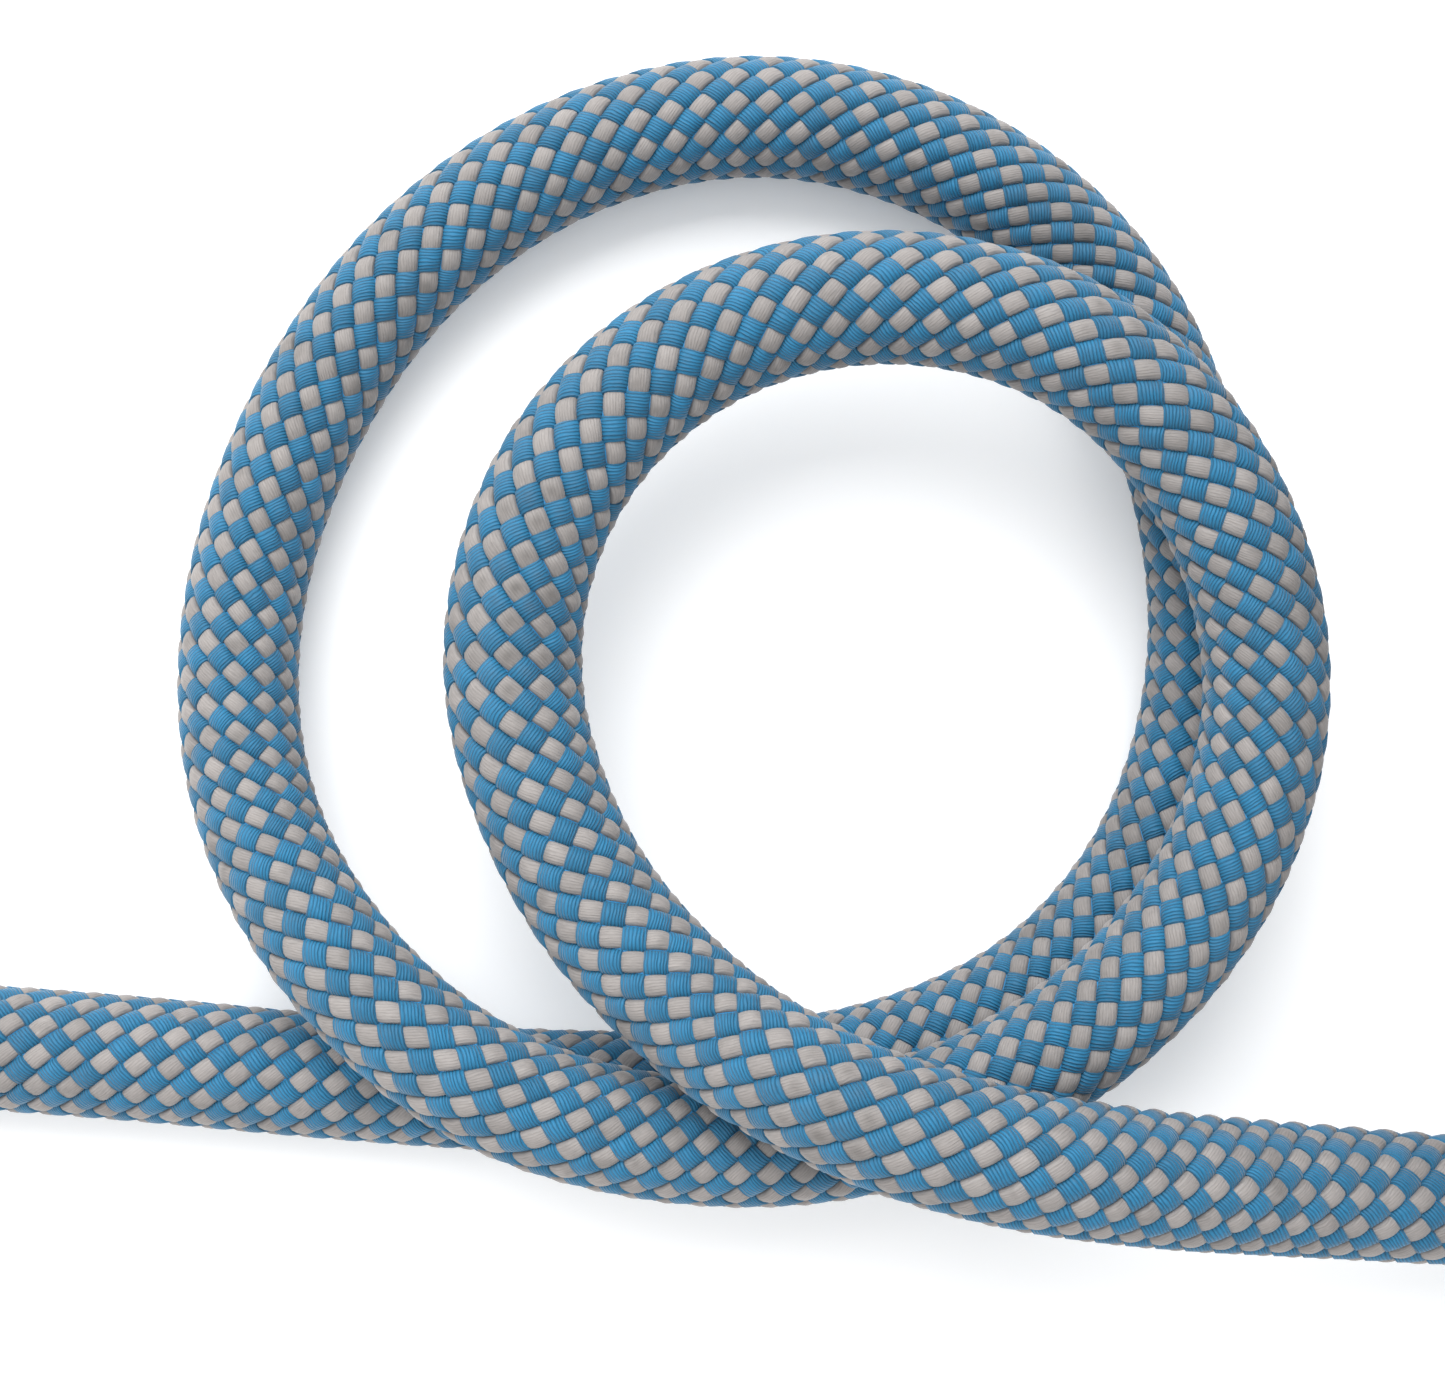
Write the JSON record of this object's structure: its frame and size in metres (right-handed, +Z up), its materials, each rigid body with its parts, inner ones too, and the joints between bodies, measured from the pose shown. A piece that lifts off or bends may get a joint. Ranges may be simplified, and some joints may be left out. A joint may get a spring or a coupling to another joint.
{
  "type": "dynamic climbing rope",
  "caption": "Two-colour braided climbing rope lying in overlapping loose loops, with the rest of its length wound into a tied round coil.",
  "frame": {"origin": "centre of the whole part's footprint, on the surface it lies on", "axes": "+Z up; +X from the loose loops towards the coil, along the part's longest side; +Y away from the viewer"},
  "size_m": [0.3328, 0.175, 0.0997],
  "materials": {
    "sheath": "matte",
    "core": "satin",
    "tape": "satin",
    "seal": "satin",
    "band": "satin",
    "coil": "matte",
    "tie": "matte"
  },
  "bodies": {
    "root": {"sheath": "sheath", "core_strand_01": "core", "core_strand_02": "core", "core_strand_03": "core", "core_strand_04": "core", "core_strand_05": "core", "core_strand_06": "core", "core_strand_07": "core", "core_strand_08": "core", "core_strand_09": "core", "core_strand_10": "core", "core_strand_11": "core", "core_strand_12": "core", "id_tape": "tape", "near_end_seal": "seal", "far_end_seal": "seal", "near_end_band": "band", "far_end_band": "band", "rope_coil": "coil", "coil_tie_1": "tie", "coil_tie_2": "tie", "coil_tie_3": "tie"}
  },
  "joints": []
}
